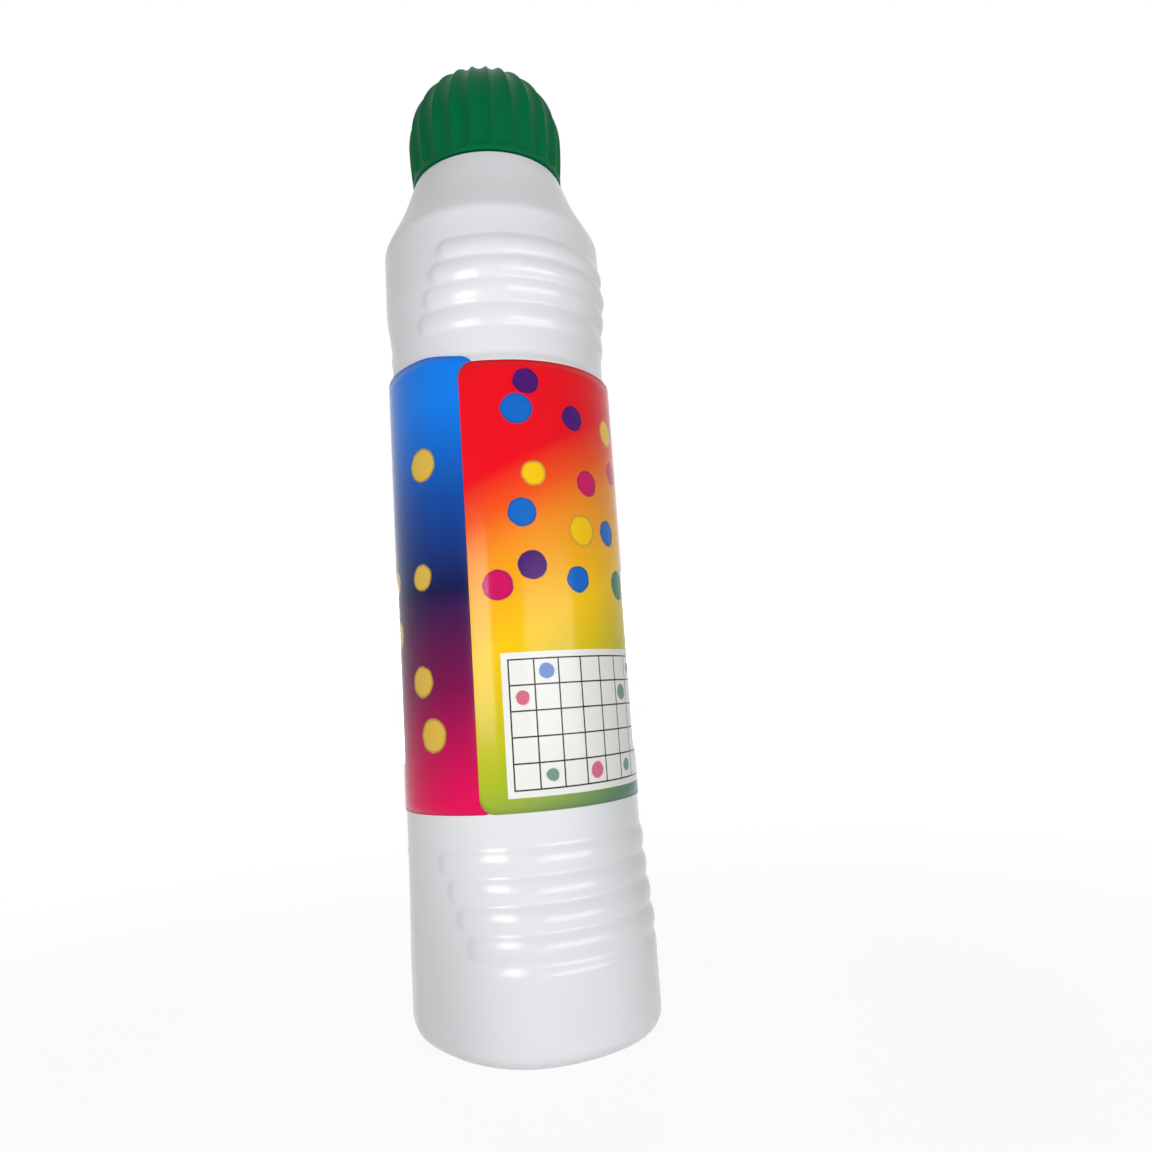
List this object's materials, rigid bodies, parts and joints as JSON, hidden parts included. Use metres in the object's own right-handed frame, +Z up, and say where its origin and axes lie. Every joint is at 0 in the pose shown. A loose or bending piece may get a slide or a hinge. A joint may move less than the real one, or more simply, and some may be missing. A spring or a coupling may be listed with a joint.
{
  "type": "bingo dauber",
  "caption": "White ink bottle with grip rolls, a wrap label, a spring-valved foam dauber tip and a green fluted screw cap.",
  "frame": {"origin": "middle of the foot on the table", "axes": "+Z up along the bottle's axis, -Y and +Y out of the grip sides, X across the smooth spines"},
  "size_m": [0.0364, 0.0408, 0.1561],
  "materials": {
    "bottle_plastic": "glossy",
    "label_film": "glossy",
    "ink": "glossy",
    "fitment_plastic": "satin",
    "spring_steel": "satin",
    "foam": "matte",
    "cover_cloth": "matte",
    "cap_plastic": "satin",
    "seal_foam": "matte"
  },
  "bodies": {
    "bottle": {"bottle": "bottle_plastic", "label": "label_film", "ink": "ink", "tip_housing": "fitment_plastic", "return_spring": "spring_steel"},
    "tip": {"tip_carrier": "fitment_plastic", "valve_stem": "fitment_plastic", "foam_tip": "foam", "tip_cover": "cover_cloth", "clamp_ring": "fitment_plastic"},
    "cap_insert": {"cap_seal": "seal_foam"},
    "cap": {"cap_shell": "cap_plastic"}
  },
  "joints": [
    {"name": "cap_lift", "type": "slide", "parent": "bottle", "child": "cap_insert", "axis": [0, 0, 1], "range_m": [0, 0.02223]},
    {"name": "cap_turn", "type": "hinge", "parent": "cap_insert", "child": "cap", "pos_m": [0, 0, 0.1355], "axis": [0, 0, 1], "range_deg": [0, 2521]},
    {"name": "tip_press", "type": "slide", "parent": "bottle", "child": "tip", "axis": [0, 0, -1], "range_m": [0, 0.002], "stiffness_N_per_m": 460, "springref_m": -0.004, "deforming": ["return_spring"]}
  ],
  "couplings": [
    {"joint": "cap_turn", "follows": "cap_lift", "rad_per_m": 1979}
  ]
}
